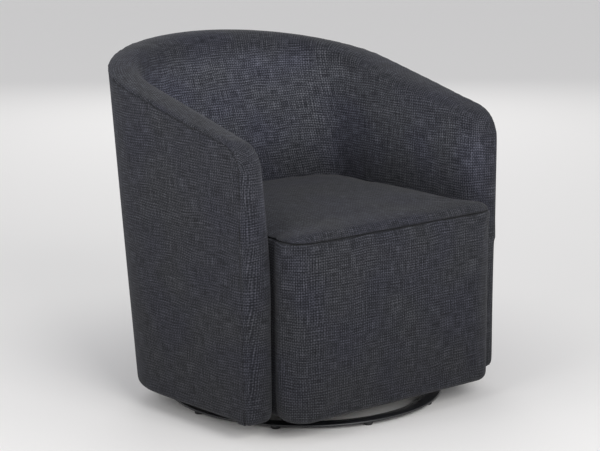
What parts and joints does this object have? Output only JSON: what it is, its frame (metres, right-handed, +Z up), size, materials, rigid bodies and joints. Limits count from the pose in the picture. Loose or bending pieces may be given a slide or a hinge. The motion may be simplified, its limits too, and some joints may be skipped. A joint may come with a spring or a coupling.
{
  "type": "swivel rocker chair",
  "caption": "Upholstered barrel chair that rocks on a sprung steel cradle and swivels all the way round on a flat ring base.",
  "frame": {"origin": "on the floor, at the middle of the chair's outline seen from above", "axes": "+Z up; the front of the chair faces -Y; +X is the sitter's left, so nodes named left lie at -X as seen from the front"},
  "size_m": [0.7406, 0.7486, 0.773],
  "materials": {
    "charcoal_cloth": "linen-look weave, charcoal with paler slubs",
    "black_lining": "thin non-woven lining",
    "seat_foam": "open-cell foam",
    "bent_ply": "unfinished plywood",
    "frame_timber": "sawn, unfinished",
    "black_steel": "satin black powder coat",
    "zinc_steel": "zinc plated",
    "black_plastic": "matt",
    "black_rubber": "matt"
  },
  "bodies": {
    "base": {"base_ring": "black_steel", "glide_1": "black_plastic", "glide_2": "black_plastic", "glide_3": "black_plastic", "glide_4": "black_plastic", "glide_5": "black_plastic", "glide_6": "black_plastic", "glide_7": "black_plastic", "glide_8": "black_plastic", "glide_9": "black_plastic", "base_spider": "black_steel", "lower_race": "zinc_steel", "ball_cage": "zinc_steel", "centre_bolt": "zinc_steel", "centre_nut": "zinc_steel"},
    "turntable": {"upper_race": "zinc_steel", "turn_plate": "black_steel", "rocker_shaft": "zinc_steel", "rocker_bracket_left": "black_steel", "rocker_bracket_right": "black_steel", "cradle_spring_front_left": "zinc_steel", "cradle_spring_front_right": "zinc_steel", "cradle_spring_rear_left": "zinc_steel", "cradle_spring_rear_right": "zinc_steel", "bump_stop_front_left": "black_rubber", "bump_stop_front_right": "black_rubber", "bump_stop_rear_left": "black_rubber", "bump_stop_rear_right": "black_rubber"},
    "body": {"outside_cover": "charcoal_cloth", "rim_band": "charcoal_cloth", "inside_back": "charcoal_cloth", "inside_arm_left": "charcoal_cloth", "inside_arm_right": "charcoal_cloth", "front_panel": "charcoal_cloth", "seat_pad": "charcoal_cloth", "dust_cover": "black_lining", "barrel_panel": "bent_ply", "bottom_rib": "frame_timber", "top_rib": "frame_timber", "arm_post_left": "frame_timber", "arm_post_right": "frame_timber", "back_post_left": "frame_timber", "back_post_right": "frame_timber", "front_board": "frame_timber", "cross_rail_front": "frame_timber", "cross_rail_rear": "frame_timber", "side_rail_left": "frame_timber", "side_rail_right": "frame_timber", "corner_post_front_left": "frame_timber", "corner_post_front_right": "frame_timber", "corner_post_rear_left": "frame_timber", "corner_post_rear_right": "frame_timber", "deck_rail_front": "frame_timber", "deck_rail_rear": "frame_timber", "deck_spring_1": "zinc_steel", "deck_spring_2": "zinc_steel", "deck_spring_3": "zinc_steel", "seat_foam": "seat_foam", "cradle_rail_left": "black_steel", "cradle_rail_right": "black_steel"}
  },
  "joints": [
    {"name": "swivel", "type": "hinge", "parent": "base", "child": "turntable", "pos_m": [0, -0.054, 0.026], "axis": [0, 0, 1], "continuous": true},
    {"name": "rock", "type": "hinge", "parent": "turntable", "child": "body", "pos_m": [0, -0.054, 0.068], "axis": [1, 0, 0], "range_deg": [-5.5, 4], "stiffness_Nm_per_rad": 600, "springref_deg": 1.72, "deforming": ["cradle_spring_front_left", "cradle_spring_front_right", "cradle_spring_rear_left", "cradle_spring_rear_right"]}
  ]
}
